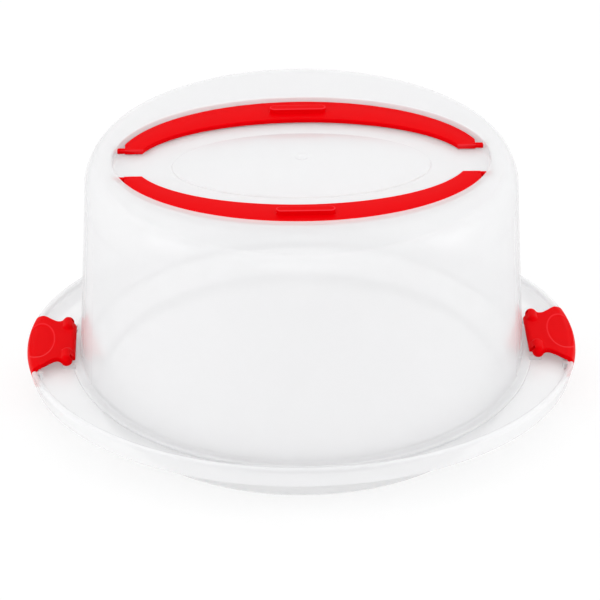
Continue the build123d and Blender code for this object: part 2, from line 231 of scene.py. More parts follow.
def round_bar(name, ends, centre, radius, place, tip=0.0):
    """A round bar between two stations, with softened ends. place puts (station, a, b) on the axes."""
    start, end = ends
    inward = tip if end > start else -tip
    sections = [(start, radius), (end, radius)]
    if tip:
        sections = [
            (start, radius - tip),
            (start + inward * 0.3, radius - tip * 0.3),
            (start + inward, radius),
            (end - inward, radius),
            (end - inward * 0.3, radius - tip * 0.3),
            (end, radius - tip),
        ]
    turns = np.radians(np.arange(0, 360, 7.5))
    rings = []
    for station, size in sections:
        across = size * np.cos(turns) + centre[0]
        up = size * np.sin(turns) + centre[1]
        rings.append([place(station, a, b) for a, b in zip(across, up)])
    return rings_mesh(name, rings, capped=True)


def along_x(name, ends, y, z, radius, tip=0.0):
    """A round bar from left to right."""
    return round_bar(name, ends, (y, z), radius, lambda s, a, b: (s, a, b), tip)


def along_y(name, ends, x, z, radius, tip=0.0):
    """A round bar from front to rear."""
    return round_bar(name, ends, (x, z), radius, lambda s, a, b: (a, s, b), tip)


# --- The tray's rim ------------------------------------------------------------------------------
def face_inset(height):
    """How far the rim's outer face stands in from its widest line."""
    return SKIRT_DRAFT * max(0.0, (WIDEST - height) / (WIDEST - SKIRT_FOOT))


def rim_x(inset, y):
    """How far out the end of the rim's oval stands at a place along it, at an inset."""
    return (TRAY_LENGTH - inset) * math.sqrt(1 - (y / (TRAY_DEPTH - inset)) ** 2)


def rim_strip(name, side, reach, insets, heights, steps=40):
    """A closed block that follows the rim between two insets from its outer face."""
    rings = []
    for y in np.linspace(reach[0], reach[1], steps):
        ring = []
        for inset, order in ((insets[0], heights), (insets[1], heights[::-1])):
            for height in order:
                ring.append((side * rim_x(inset + face_inset(height), y), y, height))
        rings.append(ring)
    return rings_mesh(name, rings, capped=True)


def rim_sweep(name, profile, half_width, steps=48):
    """Carries a closed profile of (inset, height) along the right end of the rim."""
    rings = []
    for share in np.linspace(-1, 1, steps):
        ring = []
        for inset, height in profile:
            y = share * half_width(height)
            ring.append((rim_x(inset + face_inset(height), y), y, height))
        rings.append(ring)
    return rings_mesh(name, rings, capped=True)


# --- Nodes ---------------------------------------------------------------------------------------
def node(tree, kind, inputs=None, **settings):
    """Adds a node, with its settings, and sets or links its inputs."""
    added = tree.nodes.new(kind)
    for name, value in settings.items():
        setattr(added, name, value)
    for name, value in (inputs or {}).items():
        if isinstance(value, bpy.types.NodeSocket):
            tree.links.new(value, added.inputs[name])
        else:
            added.inputs[name].default_value = value
    return added


# --- Lid -----------------------------------------------------------------------------------------
def quadrant_angles(stretches):
    """Angles from 0 to just under 90 degrees, with a step for each stretch."""
    angles = []
    for start, end, step in stretches:
        angles += list(np.linspace(start, end, max(1, round((end - start) / step)), endpoint=False))
    return np.array(angles)


def all_round(quadrant):
    """A quadrant's angles carried round the full turn, mirrored in each quarter."""
    second = 180 - np.append(quadrant, 90)[::-1]
    half = np.concatenate([quadrant, second[:-1]])
    return np.concatenate([half, half + 180])


# finer steps where the edge of a side panel runs; each stretch is (from, to, step) in degrees
STRETCHES = [(0, 12.5, 1.25), (12.5, 17.8, 0.45), (17.8, 21.8, 0.25), (21.8, 90, 1.24)]
panel_edge = math.degrees(math.asin(PANEL_FOOT / WALL_FOOT_RADIUS))
lid_angles = all_round(quadrant_angles(STRETCHES))


def meridians(edge):
    """The lid's angles, drawn so that one meridian stays on the side panel's edge."""
    turn = np.abs((lid_angles + 90) % 180 - 90)
    moved = np.interp(turn, [0, panel_edge, 90], [0, edge, 90])
    sign = np.where(np.sin(np.radians(lid_angles)) < 0, -1, 1)
    across = np.where(np.cos(np.radians(lid_angles)) < 0, -1, 1)
    angle = np.radians(moved)
    return across * np.cos(angle), sign * np.sin(angle)


def panel_half_width(height):
    """Half width of a side panel, wider at its foot."""
    share = (min(max(height, FLANGE_TOP), PANEL_TOP) - FLANGE_TOP) / (PANEL_TOP - FLANGE_TOP)
    return PANEL_FOOT + (PANEL_HEAD - PANEL_FOOT) * share


def oval_ring(length, depth, height, edge=panel_edge):
    """A level oval of the lid, from its two half-axes."""
    cosines, sines = meridians(edge)
    return np.stack([length * cosines, depth * sines, np.full_like(cosines, height)], axis=1)


def wall_ring(radius, height, normal):
    """A ring of the lid's wall or shoulder, let in over the two side panels along the wall's normal."""
    half = panel_half_width(height)
    ring = oval_ring(radius, radius, height, math.degrees(math.asin(half / radius)))
    side = half - np.abs(ring[:, 1])
    top = PANEL_TOP - height
    corner = PANEL_CORNER - np.hypot(np.maximum(PANEL_CORNER - side, 0), max(PANEL_CORNER - top, 0))
    inside = np.clip(corner / PANEL_EDGE + 0.5, 0, 1)
    sunk = PANEL_DEPTH * inside * inside * (3 - 2 * inside)
    if height < FLANGE_TOP + LOWER_EDGE:
        sunk = PANEL_DEPTH * (inside > 0.5)
    flat = np.hypot(ring[:, 0], ring[:, 1])
    ring[:, 0] -= sunk * normal[0] * ring[:, 0] / flat
    ring[:, 1] -= sunk * normal[0] * ring[:, 1] / flat
    ring[:, 2] -= sunk * normal[1]
    return ring


def wall_radius(height):
    """Radius of the lid's wall, which leans in towards the shoulder."""
    share = (height - FLANGE_TOP) / (SHOULDER_FOOT - FLANGE_TOP)
    return WALL_FOOT_RADIUS + (WALL_TOP_RADIUS - WALL_FOOT_RADIUS) * share


def crown_rings(foot, outward):
    """Rings of the cushion in the middle of the lid, from its pole to its foot."""
    crown = ISLAND_RISE - ISLAND_STEP
    sphere = (ISLAND_LENGTH**2 + crown**2) / (2 * crown)
    rings = []
    for share in outward:
        rise = math.sqrt(sphere**2 - (ISLAND_LENGTH * share) ** 2) - (sphere - ISLAND_RISE)
        rings.append(oval_ring(ISLAND_LENGTH * share, ISLAND_DEPTH * share, foot + rise))
    return rings


def between(inner, outer, share):
    """Half-axes of an oval part of the way from one oval to another."""
    return [a + (b - a) * share for a, b in zip(inner, outer)]


def grown(axes, amount):
    """Half-axes of an oval that stands outside another by an amount."""
    return [axis + amount for axis in axes]


POCKET = (POCKET_LENGTH, POCKET_DEPTH)
ISLAND = (ISLAND_LENGTH, ISLAND_DEPTH)
flat_radius = WALL_TOP_RADIUS - SHOULDER_WIDTH


def lid_outside():
    """Rings of the lid's outer side, from the gate dimple to the root of the flange."""
    crown_top = POCKET_FLOOR + ISLAND_RISE
    rings = [oval_ring(radius, radius, crown_top - drop) for radius, drop in GATE_PROFILE]
    rings += crown_rings(POCKET_FLOOR, np.linspace(0.12, 0.99, 20))
    foot = grown(ISLAND, STEP_REACH)
    rings += [oval_ring(*grown(foot, out), POCKET_FLOOR + rise) for out, rise in STEP_PROFILE]
    floor_edge = grown(POCKET, -POCKET_CORNER)
    for share in np.linspace(0.08, 1, 9):
        rings.append(oval_ring(*between(foot, floor_edge, share), POCKET_FLOOR))
    corner = (POCKET_CORNER, POCKET_CORNER)
    edge = arc((-POCKET_CORNER, POCKET_FLOOR + POCKET_CORNER), corner, -75, 0, 6)
    edge += arc((UPPER_EDGE, LID_TOP - UPPER_EDGE), (UPPER_EDGE, UPPER_EDGE), 180, 90, 6)
    rings += [oval_ring(*grown(POCKET, out), height) for out, height in edge]
    lip, flat = grown(POCKET, UPPER_EDGE), (flat_radius, flat_radius)
    rings += [oval_ring(*between(lip, flat, share), LID_TOP) for share in np.linspace(0.06, 0.97, 12)]
    for angle in np.concatenate([np.linspace(90, 34, 18), np.linspace(32.5, 0, 17)]):
        turn = math.radians(angle)
        radius = flat_radius + SHOULDER_WIDTH * math.cos(turn)
        height = SHOULDER_FOOT + SHOULDER_HEIGHT * math.sin(turn)
        normal = np.array([math.cos(turn) / SHOULDER_WIDTH, math.sin(turn) / SHOULDER_HEIGHT])
        rings.append(wall_ring(radius, height, normal / np.hypot(*normal)))
    for height in np.linspace(SHOULDER_FOOT, FLANGE_TOP + WALL_ROOT + 0.1, 26)[1:]:
        rings.append(wall_ring(wall_radius(height), height, (1, 0)))
    for out, height in arc((WALL_ROOT, FLANGE_TOP + WALL_ROOT), (WALL_ROOT, WALL_ROOT), 195, 270, 5):
        rings.append(wall_ring(WALL_FOOT_RADIUS + out, height, (1, 0)))
    return rings


def lid_rim():
    """Rings round the flange and the spigot, up the inside of the wall and over to the ceiling."""
    upper, lower = (UPPER_EDGE, UPPER_EDGE), (LOWER_EDGE, LOWER_EDGE)
    spigot_inner = SPIGOT_RADIUS - SPIGOT_WIDTH
    start = WALL_FOOT_RADIUS + WALL_ROOT + LOWER_EDGE
    edge = line((start, FLANGE_TOP), (FLANGE_RADIUS - UPPER_EDGE, FLANGE_TOP), 2)
    edge += arc((FLANGE_RADIUS - UPPER_EDGE, FLANGE_TOP - UPPER_EDGE), upper, 90, 0, 5)
    edge += arc((FLANGE_RADIUS - LOWER_EDGE, FLANGE_UNDER + LOWER_EDGE), lower, 0, -90, 4)
    spigot_root = (SPIGOT_RADIUS + SPIGOT_ROOT, FLANGE_UNDER)
    edge += line((FLANGE_RADIUS - LOWER_EDGE, FLANGE_UNDER), spigot_root, 4)
    top, bottom = FLANGE_UNDER - SPIGOT_ROOT, SPIGOT_FOOT + LOWER_EDGE
    edge += line((SPIGOT_RADIUS, top), (SPIGOT_RADIUS, bottom), 2)
    edge += arc((SPIGOT_RADIUS - LOWER_EDGE, bottom), lower, 0, -90, 4)
    edge += arc((spigot_inner + LOWER_EDGE, bottom), lower, -90, -180, 4)
    edge += line((spigot_inner, bottom), (spigot_inner, FLANGE_TOP - SPIGOT_LIP), 2)
    seat = (spigot_inner + SPIGOT_LIP, FLANGE_TOP)
    edge += line(seat, (WALL_FOOT_RADIUS - LID_WALL - INNER_ROOT, FLANGE_TOP), 1)
    for height in np.linspace(FLANGE_TOP + INNER_ROOT, SHOULDER_FOOT, 22):
        edge.append((wall_radius(height) - LID_WALL, height))
    inside = (SHOULDER_WIDTH - LID_WALL, SHOULDER_HEIGHT - LID_WALL)
    edge += arc((flat_radius, SHOULDER_FOOT), inside, 4, 90, 20)
    return [oval_ring(radius, radius, height) for radius, height in edge]


def lid_ceiling():
    """Rings of the inside of the top, round the pocket's shell and up into the crown."""
    ceiling, under = LID_TOP - LID_WALL, POCKET_FLOOR - LID_WALL
    flat, shell = (flat_radius, flat_radius), grown(POCKET, LID_WALL)
    rings = [oval_ring(*between(flat, shell, share), ceiling) for share in (0.4, 0.8, 1)]
    edge = line((0, ceiling), (0, under + SHELL_CORNER), 2)
    edge += arc((-SHELL_CORNER, under + SHELL_CORNER), (SHELL_CORNER, SHELL_CORNER), 0, -90, 7)
    rings += [oval_ring(*grown(shell, out), height) for out, height in edge]
    bottom = grown(shell, -SHELL_CORNER)
    rings += [oval_ring(*between(bottom, ISLAND, share), under) for share in (0.35, 0.7)]
    return rings + crown_rings(under, np.linspace(1, 0.02, 16))


def build_lid():
    """The lid's shell, with the lugs for the handles and the notches and ears for the latches."""
    lid = rings_mesh("domed_lid", lid_outside() + lid_rim() + lid_ceiling())
    for side in (-1, 1):
        for end in (-1, 1):
            across = side * LUG_INNER, side * LUG_OUTER
            combine(lid, along_x("lug", across, end * TRUNNION_Y, TRUNNION_Z, LUG_RADIUS), "UNION")
            across = side * HOLE_INNER, side * HOLE_END
            hole = along_x("hole", across, end * TRUNNION_Y, TRUNNION_Z, TRUNNION_RADIUS + RUNNING_GAP)
            combine(lid, hole, "DIFFERENCE")
    for side in (-1, 1):
        x = sorted((side * NOTCH_START, side * NOTCH_END))
        combine(lid, block("notch", x, (-NOTCH_WIDTH, NOTCH_WIDTH), NOTCH_HEIGHTS), "DIFFERENCE")
        for end in (-1, 1):
            combine(lid, ear(side, end), "UNION")
            span = (end * (EAR_INNER - 1), end * (EAR_OUTER + 1))
            hole = along_y("hole", span, side * PIVOT_X, PIVOT_Z, PIN_RADIUS + RUNNING_GAP)
            combine(lid, hole, "DIFFERENCE")
    finish_surface(lid)
    return lid


def ear(side, end):
    """A tongue of the flange with the ear that stands on it."""
    root, tip = (EAR_ROOT, EAR_ROOT), (TONGUE_END, TONGUE_END)
    outline = arc((PIVOT_X, PIVOT_Z), (EAR_RADIUS, EAR_RADIUS), 0, 180, 20)
    outline += arc((PIVOT_X - EAR_RADIUS - EAR_ROOT, FLANGE_TOP + EAR_ROOT), root, 0, -90, 4)
    for height in (FLANGE_TOP - TONGUE_INSET, FLANGE_UNDER + TONGUE_INSET):
        outline.append((NOTCH_START - 1, height))
    centre = PIVOT_X + EAR_RADIUS - TONGUE_END, FLANGE_UNDER + TONGUE_END + TONGUE_INSET
    outline += arc(centre, tip, -90, 0, 4)
    rings = []
    for y, size in (
        (EAR_INNER, EAR_FACE),
        (EAR_INNER + EAR_EDGE, 1),
        (EAR_OUTER - EAR_EDGE, 1),
        (EAR_OUTER, EAR_FACE),
    ):
        ring = []
        for x, z in outline:
            across, up = PIVOT_X + (x - PIVOT_X) * size, PIVOT_Z + (z - PIVOT_Z) * size
            ring.append((side * across, end * y, up))
        rings.append(ring)
    return rings_mesh("ear", rings, capped=True)


# --- Tray ----------------------------------------------------------------------------------------
def tray_rings():
    """Rings from the middle of the well's floor out over the rim and back underneath."""
    angles = np.radians(np.arange(0, 360, 0.75))
    rings = []

    def ring(axes, height):
        across, along = axes[0] * np.cos(angles), axes[1] * np.sin(angles)
        rings.append(np.stack([across, along, np.full_like(angles, height)], axis=1))

    def round_rings(profile):
        for radius, height in profile:
            ring((radius, radius), height)

    def rim_rings(profile):
        for inset, height in profile:
            ring((TRAY_LENGTH - inset, TRAY_DEPTH - inset), height)

    # floor, corner, well wall and rounded mouth
    round_rings(line((0, FLOOR), (FLOOR_RADIUS - FLOOR_CORNER, FLOOR), 8))
    slope = math.atan2(DECK - FLOOR, MOUTH_RADIUS - FLOOR_RADIUS)
    centre = FLOOR_RADIUS - FLOOR_CORNER * math.tan(slope / 2), FLOOR + FLOOR_CORNER
    round_rings(arc(centre, (FLOOR_CORNER, FLOOR_CORNER), -84, -90 + math.degrees(slope), 9))
    round_rings(line(*WELL_WALL, 4))
    centre = MOUTH_RADIUS + MOUTH_LIP, DECK - MOUTH_EDGE
    round_rings(arc(centre, (MOUTH_EDGE, MOUTH_EDGE), 160, 90, 5))
    # deck, out to the rim, with the gutter's soft corner
    start = [MOUTH_RADIUS + TRAY_EDGE] * 2
    gutter = grown((TRAY_LENGTH, TRAY_DEPTH), -RIM_WIDTH - GUTTER)
    for share in np.linspace(0.12, 1, 9):
        ring(between(start, gutter, share), DECK)
    rim_rings(arc((RIM_WIDTH + GUTTER, DECK + GUTTER), (-GUTTER, GUTTER), -80, 0, 5))
    # rounded rim, widest line, drafted skirt
    inner, outer = RIM_CREST
    rim_rings(arc((inner, RIM_TOP - RIM_EDGE), (RIM_WIDTH - inner, RIM_EDGE), 0, 90, 7))
    rim_rings(arc((outer, RIM_TOP - RIM_EDGE), (outer, RIM_EDGE), 90, 180, 7))
    rim_rings(line((0, RIM_TOP - RIM_EDGE), (0, WIDEST), 2))
    heights = np.linspace(WIDEST - SKIRT_EDGE, SKIRT_FOOT + SKIRT_EDGE, 7)
    rim_rings([(face_inset(height), height) for height in heights])
    middle = face_inset(SKIRT_FOOT) + TRAY_WALL / 2
    rim_rings(arc((middle, SKIRT_FOOT + TRAY_EDGE), (-TRAY_WALL / 2, TRAY_EDGE), -10, -170, 9))
    heights = np.linspace(SKIRT_FOOT + 1.2, DECK_UNDER - TRAY_EDGE, 5)
    rim_rings([(face_inset(height) + TRAY_WALL, height) for height in heights])
    rim_rings([(face_inset(DECK_UNDER) + TRAY_WALL + TRAY_EDGE, DECK_UNDER)])
    # underside of the deck, outside of the well, foot
    start = grown((TRAY_LENGTH, TRAY_DEPTH), -4.5)
    for share in (0.3, 0.65, 1):
        ring(between(start, [MOUTH_RADIUS + TRAY_WALL] * 2, share), DECK_UNDER)
    below, foot_inner = FLOOR - TRAY_WALL, FOOT_RADIUS - FOOT_WIDTH
    start, end = (MOUTH_RADIUS + TRAY_WALL, DECK_UNDER), (FLOOR_RADIUS + TRAY_WALL, below + TRAY_EDGE)
    edge = (FOOT_EDGE, FOOT_EDGE)
    profile = line(start, end, 4) + [(FOOT_RADIUS + FOOT_ROOT, below)]
    profile += line((FOOT_RADIUS, below - FOOT_ROOT), (FOOT_RADIUS, FOOT_EDGE), 3)
    profile += arc((FOOT_RADIUS - FOOT_EDGE, FOOT_EDGE), edge, 0, -90, 4)
    profile += arc((foot_inner + FOOT_EDGE, FOOT_EDGE), edge, -90, -180, 4)
    profile += line((foot_inner, FOOT_EDGE), (foot_inner, below - TRAY_EDGE), 3)
    profile += line((foot_inner - TRAY_EDGE, below), (2, below), 7)
    round_rings(profile)
    return rings


def build_tray():
    """The tray: each bay's wall and end plates are added to the rim, then the bay is cleared."""
    tray = rings_mesh("oval_tray", tray_rings())
    for side in (-1, 1):
        reach, insets = (-BAY_WALL_END, BAY_WALL_END), (BAY_WALL_FACE, BAY_INNER)
        combine(tray, rim_strip("bay_wall", side, reach, insets, BAY_WALL_HEIGHTS), "UNION")
        for end in (-1, 1):
            reach = sorted((end * END_PLATE_START, end * BAY_WALL_END))
            insets = (END_PLATE_FACE, BAY_INNER - 0.1)
            combine(tray, rim_strip("end_plate", side, reach, insets, END_PLATE_HEIGHTS), "UNION")
        reach, insets = (-BAY_WIDTH, BAY_WIDTH), (BAY_REACH, BAY_FACE)
        combine(tray, rim_strip("bay", side, reach, insets, BAY_HEIGHTS), "DIFFERENCE")
    finish_surface(tray)
    return tray


# --- Handles -------------------------------------------------------------------------------------
BAND_SIZES = (
    "Half Length",
    "Half Depth",
    "Half Width at Ends",
    "Half Width at Middle",
    "Thickness",
    "Edge Radius",
    "End Faces",
    "Side Faces",
    "Middle Height",
)


def band_tree():
    """Geometry nodes for a rounded flat band, bent round half an oval and cut square at both ends."""
    tree = bpy.data.node_groups.new("half_oval_band", "GeometryNodeTree")
    sockets = tree.interface
    sockets.new_socket("Geometry", in_out="INPUT", socket_type="NodeSocketGeometry")
    kinds = dict.fromkeys(BAND_SIZES, "NodeSocketFloat")
    kinds |= {"Steps": "NodeSocketInt", "Material": "NodeSocketMaterial"}
    sizes = {}
    for name, kind in kinds.items():
        sizes[name] = sockets.new_socket(name, in_out="INPUT", socket_type=kind).identifier
    sockets.new_socket("Geometry", in_out="OUTPUT", socket_type="NodeSocketGeometry")
    given = node(tree, "NodeGroupInput").outputs

    # a straight bar of the band's section, 1 m long, which is then bent
    run = node(tree, "GeometryNodeCurvePrimitiveLine", {"Start": (0, 0, 0), "End": (1, 0, 0)})
    run = node(tree, "GeometryNodeResampleCurve", {"Curve": run.outputs[0], "Count": given["Steps"]})
    half_width = given["Half Width at Middle"]
    width = node(tree, "ShaderNodeMath", {0: half_width, 1: 2.0}, operation="MULTIPLY")
    section = node(
        tree,
        "GeometryNodeCurvePrimitiveQuadrilateral",
        {"Width": width.outputs[0], "Height": given["Thickness"]},
    )
    section = node(
        tree,
        "GeometryNodeFilletCurve",
        {"Curve": section.outputs[0], "Count": 6, "Radius": given["Edge Radius"]},
        mode="POLY",
    )
    straight = node(
        tree,
        "GeometryNodeCurveToMesh",
        {"Curve": run.outputs[0], "Profile Curve": section.outputs[0], "Fill Caps": True},
    )
    position = node(tree, "GeometryNodeInputPosition")
    place = node(tree, "ShaderNodeSeparateXYZ", {0: position.outputs[0]}).outputs
    value = {name: given[name] for name in BAND_SIZES}
    value |= {"along": place["X"], "across": place["Y"], "up": place["Z"]}
    # each row works out one value from those above it
    for result, operation, *terms in (
        ("share", "DIVIDE", "across", "Half Width at Middle"),
        ("wider", "MULTIPLY", "share", "Half Width at Ends"),
        ("length", "ADD", "Half Length", "wider"),
        ("deeper", "MULTIPLY", "share", "Half Width at Middle"),
        ("depth", "ADD", "Half Depth", "deeper"),
        ("end sine", "DIVIDE", "End Faces", "depth"),
        ("first turn", "ARCSINE", "end sine"),
        ("left out", "MULTIPLY", "first turn", 2.0),
        ("sweep", "SUBTRACT", math.pi, "left out"),
        ("turned", "MULTIPLY", "along", "sweep"),
        ("turn", "ADD", "first turn", "turned"),
        ("cosine", "COSINE", "turn"),
        ("sine", "SINE", "turn"),
        ("reach", "MULTIPLY", "length", "cosine"),
        ("right side cut", "MINIMUM", "reach", "Side Faces"),
        ("left side", "MULTIPLY", "Side Faces", -1.0),
        ("x", "MAXIMUM", "right side cut", "left side"),
        ("y", "MULTIPLY", "depth", "sine"),
        ("z", "ADD", "up", "Middle Height"),
    ):
        inputs = {index: value.get(term, term) for index, term in enumerate(terms)}
        value[result] = node(tree, "ShaderNodeMath", inputs, operation=operation).outputs[0]
    spot = node(tree, "ShaderNodeCombineXYZ", {"X": value["x"], "Y": value["y"], "Z": value["z"]})
    bent = node(
        tree,
        "GeometryNodeSetPosition",
        {"Geometry": straight.outputs[0], "Position": spot.outputs[0]},
    )
    real = node(tree, "GeometryNodeRealizeInstances", {"Geometry": bent.outputs[0]})
    dressed = node(
        tree,
        "GeometryNodeSetMaterial",
        {"Geometry": real.outputs[0], "Material": given["Material"]},
    )
    node(tree, "NodeGroupOutput", {"Geometry": dressed.outputs[0]})
    return tree, sizes


def build_handle(material):
    """The rear handle: band, end rounding, finger rib and the two trunnions."""
    piece = bpy.data.objects.new("rear_bail", bpy.data.meshes.new("rear_bail"))
    bpy.context.collection.objects.link(piece)
    tree, sizes = band_tree()
    band = piece.modifiers.new("band", "NODES")
    band.node_group = tree
    outer, inner = HANDLE_OUTER, HANDLE_INNER
    values = {
        "Half Length": (outer[0] + inner[0]) / 2 * MM,
        "Half Depth": (outer[1] + inner[1]) / 2 * MM,
        "Half Width at Ends": (outer[0] - inner[0]) / 2 * MM,
        "Half Width at Middle": (outer[1] - inner[1]) / 2 * MM,
        "Thickness": (HANDLE_TOP - HANDLE_FOOT) * MM,
        "Edge Radius": BAND_EDGE * MM,
        "End Faces": HANDLE_END * MM,
        "Side Faces": HANDLE_REACH * MM,
        "Middle Height": (HANDLE_TOP + HANDLE_FOOT) / 2 * MM,
        "Steps": 260,
        "Material": material,
    }
    for name, value in values.items():
        band[sizes[name]] = value
    settle(piece)
    rounding = piece.modifiers.new("ends", "BEVEL")
    rounding.width, rounding.segments, rounding.limit_method = END_EDGE * MM, 3, "ANGLE"
    rounding.angle_limit = math.radians(50)
    settle(piece)
    for side in (-1, 1):
        span = (side * (HANDLE_REACH - TRUNNION_ROOT), side * TRUNNION_END)
        bar = along_x("trunnion", span, TRUNNION_Y, TRUNNION_Z, TRUNNION_RADIUS, TRUNNION_TIP)
        combine(piece, bar, "UNION")
    combine(piece, finger_rib(), "UNION")
    finish_surface(piece)
    # painted highlight: a pale line painted along the finger rib's top edge and along the top edges of
    # the band's end faces
    x, y, z = places(piece)
    straight = GRIP_LENGTH - GRIP_WIDTH
    inward = GRIP_WIDTH - np.hypot(np.maximum(np.abs(x) - straight, 0), y - GRIP_Y)
    rib_highlight = np.exp(-(((inward - 0.25) / 0.28) ** 2)) * (z > RIB_TOP - RIB_EDGE)
    end_highlight = np.exp(-(((y - HANDLE_END) / END_EDGE) ** 2)) * (z > HANDLE_TOP - BAND_EDGE)
    end_highlight *= np.abs(x) < HANDLE_REACH + 0.1
    paint_highlights(piece, np.maximum(rib_highlight, 0.7 * end_highlight))
    return piece


def rib_ring(out, height):
    """A ring of the finger rib's stadium outline."""
    width, straight = GRIP_WIDTH + out, GRIP_LENGTH - GRIP_WIDTH
    ring = []
    for turn in np.radians(np.arange(3, 360, 6)):
        x = math.copysign(straight, math.cos(turn)) + width * math.cos(turn)
        ring.append((x, GRIP_Y + width * math.sin(turn), height))
    return ring


def finger_rib():
    """The raised rib under the fingertips, with a crisp rounded edge."""
    section = [(0.2, HANDLE_TOP - 1.5), (0.2, HANDLE_TOP - 0.1), (0.0, HANDLE_TOP + 0.4)]
    section += arc((-RIB_EDGE, RIB_TOP - RIB_EDGE), (RIB_EDGE, RIB_EDGE), 0, 90, 5)
    section += [(-RIB_EDGE - 0.5, RIB_TOP), (-2.0, RIB_TOP)]
    return rings_mesh("finger_rib", [rib_ring(out, height) for out, height in section], capped=True)


# --- Latches -------------------------------------------------------------------------------------
def smooth_curve(points, steps):
    """A curve that runs smoothly through its points."""
    points = [np.array(p, dtype=float) for p in points]
    padded = [2 * points[0] - points[1]] + points + [2 * points[-1] - points[-2]]
    run = []
    for a, b, c, d in zip(padded, padded[1:], padded[2:], padded[3:]):
        for t in np.linspace(0, 1, steps, endpoint=False):
            square, cube = 2 * a - 5 * b + 4 * c - d, 3 * b - a - 3 * c + d
            run.append(0.5 * (2 * b + (c - a) * t + square * t**2 + cube * t**3))
    return [tuple(p) for p in run] + [tuple(points[-1])]


def capsule(name, ends, x, z, radius):
    """A bar along Y with a round nose at each end; ends are the centres of the noses."""
    around = np.linspace(0, 2 * math.pi, 40, endpoint=False)
    rings = []
    for place, tilts in ((ends[0], range(-84, 1, 12)), (ends[1], range(0, 85, 12))):
        for tilt in np.radians(tilts):
            across, y = radius * math.cos(tilt), place + radius * math.sin(tilt)
            rings.append([(x + across * math.cos(a), y, z + across * math.sin(a)) for a in around])
    return rings_mesh(name, rings, capped=True)


def ear_slot(end):
    """The room round an ear: open below and towards the dome, so that the latch can swing up."""
    reach, far, low = EAR_RADIUS + EAR_GAP, PIVOT_X - 12, PIVOT_Z - 8
    outline = arc((PIVOT_X, PIVOT_Z), (reach, reach), 0, 90, 12)
    outline += [(far, PIVOT_Z + reach + 2), (far, low), (PIVOT_X + reach, low)]
    walls = (EAR_INNER - EAR_GAP, EAR_OUTER + EAR_GAP)
    return rings_mesh("ear_slot", [[(x, end * y, z) for x, z in outline] for y in walls], capped=True)


def latch_shapes():
    """The closed shapes that make up a latch: plate, outer wall, hook, tail and the two bosses."""
    edge = smooth_curve(PLATE_EDGE, 8)
    rim = [(rim_x(SHOULDER_IN, y), y) for y in np.linspace(PLATE_CORNER, -PLATE_CORNER, 30)]
    outline = [PLATE_ROOT] + edge + rim + [(x, -y) for x, y in reversed(edge)]
    outline.append((PLATE_ROOT[0], -PLATE_ROOT[1]))
    levels = (LATCH_UNDER, LATCH_TOP)
    shapes = [rings_mesh("plate", [[(x, y, z) for x, y in outline] for z in levels], capped=True)]
    profile = [(0.5, LATCH_FOOT), (0.0, LATCH_FOOT + 0.5), (0.0, 24.0), (0.0, WIDEST)]
    profile += arc((SHOULDER_IN, LATCH_TOP - SHOULDER_DOWN), (-SHOULDER_IN, SHOULDER_DOWN), 0, 90, 14)
    profile += [(SHOULDER_IN, LATCH_UNDER), (4.6, LATCH_UNDER), (LATCH_WALL, LATCH_UNDER - 0.8)]
    profile += [(LATCH_WALL, WIDEST), (LATCH_WALL, 24.0), (LATCH_WALL, LATCH_FOOT)]
    shapes.append(
        rim_sweep("closure", profile, lambda height: np.interp(height, CLOSING_HEIGHTS, CLOSING_WIDTHS))
    )
    shapes.append(rim_sweep("hook", HOOK_PROFILE, lambda height: HOOK_WIDTH))
    inner_face, back = PIVOT_X - TAIL_REACH, PIVOT_X + 1.5
    centre = inner_face + TAIL_EDGE, LATCH_TOP - TAIL_EDGE
    tail = [(back, LATCH_TOP)] + arc(centre, (TAIL_EDGE, TAIL_EDGE), 90, 180, 14)
    tail += [(inner_face, TAIL_FOOT), (back, TAIL_FOOT)]
    sides = (-TAIL_WIDTH, TAIL_WIDTH)
    shapes.append(rings_mesh("tail", [[(x, y, z) for x, z in tail] for y in sides], capped=True))
    for end in (-1, 1):
        centres = sorted((end * BOSS_INNER, end * BOSS_OUTER))
        shapes.append(capsule("boss", centres, PIVOT_X, PIVOT_Z, BOSS_RADIUS))
    return shapes


def ramp(value, low, high):
    """A soft step from 0 to 1 between two values."""
    share = np.clip((value - low) / (high - low), 0, 1)
    return share * share * (3 - 2 * share)


def inside_pad(x, y):
    """How far a point lies inside the finger pad's edge."""
    return (1 - np.hypot((x - PAD_X) / PAD_LENGTH, y / PAD_WIDTH)) * PAD_LENGTH


def build_latch():
    """The right latch: its shapes are joined in one skin, softened, then slotted and pinned."""
    latch, *others = latch_shapes()
    work = bmesh.new()
    for shape in [latch] + others:
        work.from_mesh(shape.data)
    work.to_mesh(latch.data)
    work.free()
    for shape in others:
        bpy.data.objects.remove(shape, do_unlink=True)
    skin = latch.modifiers.new("skin", "REMESH")
    skin.mode, skin.voxel_size = "VOXEL", SKIN_STEP * MM
    soften = latch.modifiers.new("soften", "SMOOTH")
    soften.factor, soften.iterations = 0.5, 7
    settle(latch)
    # the top falls away to the rim, and the finger pad is let into it with a soft edge
    x, y, z = places(latch)
    pad = ramp(inside_pad(x, y), -PAD_SOFT, PAD_SOFT)
    fall = FALL * ramp(x, FALL_START, FALL_END) + PAD_DEPTH * pad
    z -= ramp(z, LATCH_UNDER + 0.5, LATCH_TOP - 0.3) * fall
    latch.data.vertices.foreach_set("co", (np.stack([x, y, z], axis=1) * MM).ravel())
    for end in (-1, 1):
        combine(latch, ear_slot(end), "DIFFERENCE")
        # the pin's ends stand 1.4 mm inside the boss on both sides of the slot
        span = (end * (EAR_INNER - 1.4), end * (EAR_OUTER + 1.4))
        combine(latch, along_y("pin", span, PIVOT_X, PIVOT_Z, PIN_RADIUS), "UNION")
    latch.name = latch.data.name = "right_catch"
    finish_surface(latch, sharp_angle=40)
    # painted highlight: a pale line painted round the outline of the finger pad on the latch's top
    x, y, z = places(latch)
    pad_highlight = np.exp(-(((inside_pad(x, y) + 0.3) / 0.3) ** 2))
    paint_highlights(latch, 0.6 * pad_highlight * (z > LATCH_UNDER + 0.5))
    return latch


